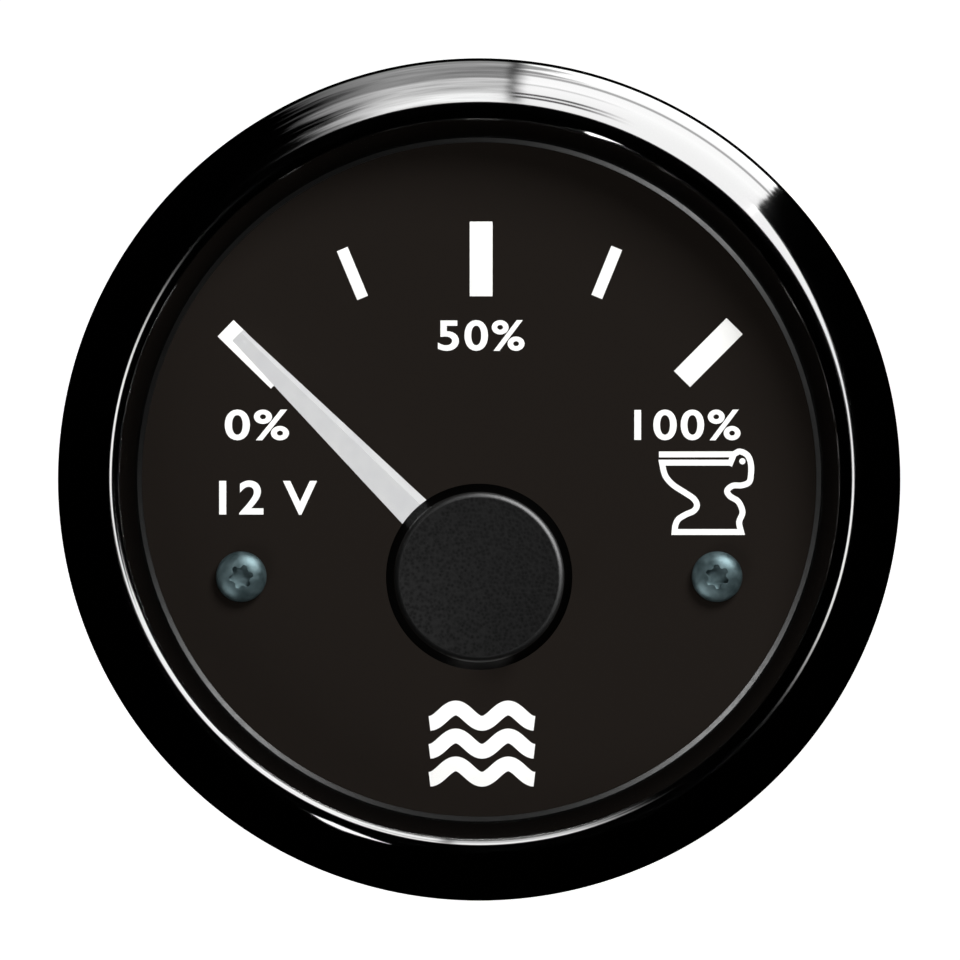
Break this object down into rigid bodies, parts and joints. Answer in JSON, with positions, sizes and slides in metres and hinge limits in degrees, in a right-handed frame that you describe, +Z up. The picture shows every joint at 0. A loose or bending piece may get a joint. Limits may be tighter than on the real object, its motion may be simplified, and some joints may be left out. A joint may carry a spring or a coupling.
{
  "type": "tank level panel gauge",
  "caption": "Round black panel gauge that shows how full a tank is with a pointer sweeping a dial, with a rear clamp strap, studs, knurled nuts and blade terminals.",
  "frame": {"origin": "on the gauge's axis, in the plane where its gasket meets the front of the panel", "axes": "+Y runs from the dial back through the panel, +Z is up towards the top of the dial, +X is to the right as the dial is read"},
  "size_m": [0.06, 0.0677, 0.06],
  "materials": {
    "case_plastic": "black moulded housing, fine spark texture",
    "black_enamel": "gloss black stoved enamel on a spun ring",
    "clear_glass": "clear flat lens",
    "black_rubber": "matt black rubber",
    "ring_plastic": "gloss black moulding",
    "dial_plastic": "matt warm black, white scale print",
    "clear_acrylic": "clear polished acrylic",
    "screw_steel": "dark plated steel",
    "board_laminate": "green solder mask on glass laminate",
    "led_white": "white moulding",
    "resistor_body": "tan lacquer",
    "diode_body": "black epoxy",
    "brass": "bright turned or stamped brass",
    "pointer_silver": "satin pale grey paint",
    "cap_plastic": "finely textured black moulding",
    "bright_steel": "bright drawn steel",
    "ferrite": "sintered grey",
    "bobbin_nylon": "natural nylon",
    "copper_wire": "enamelled copper winding",
    "zinc_plate": "bright zinc plate"
  },
  "bodies": {
    "housing": {"case": "case_plastic", "bezel": "black_enamel", "lens": "clear_glass", "lens_seal": "black_rubber", "panel_gasket": "black_rubber", "dial_ring": "ring_plastic", "dial_plate": "dial_plastic", "light_guide": "clear_acrylic", "dial_screw_left": "screw_steel", "dial_screw_right": "screw_steel", "circuit_board": "board_laminate", "led_upper_left": "led_white", "led_upper_right": "led_white", "led_lower_left": "led_white", "led_lower_right": "led_white", "series_resistor": "resistor_body", "zener_diode": "diode_body", "terminal_sender": "brass", "terminal_ground": "brass", "terminal_supply": "brass", "terminal_lighting": "brass", "bobbin_front": "bobbin_nylon", "bobbin_rear": "bobbin_nylon", "front_bearing": "brass", "rear_bearing": "brass", "coil_outer_upper": "copper_wire", "coil_outer_lower": "copper_wire", "coil_inner_left": "copper_wire", "coil_inner_right": "copper_wire", "shield_can": "bright_steel", "clamp_stud_left": "zinc_plate", "clamp_stud_right": "zinc_plate", "jam_nut_left": "zinc_plate", "jam_nut_right": "zinc_plate"},
    "pointer_group": {"pointer": "pointer_silver", "pointer_cap": "cap_plastic", "balance_weight": "brass", "spindle": "bright_steel", "rotor_magnet": "ferrite"},
    "clamp": {"clamp_bracket": "zinc_plate", "spring_washer_left": "zinc_plate", "spring_washer_right": "zinc_plate", "thumb_nut_left": "brass", "thumb_nut_right": "brass"}
  },
  "joints": [
    {"name": "pointer_sweep", "type": "hinge", "parent": "housing", "child": "pointer_group", "pos_m": [0, 0, -0.00695], "axis": [0, 1, 0], "range_deg": [0, 90]},
    {"name": "clamp_slide", "type": "slide", "parent": "housing", "child": "clamp", "axis": [0, 1, 0], "range_m": [-0.005, 0.006]}
  ]
}
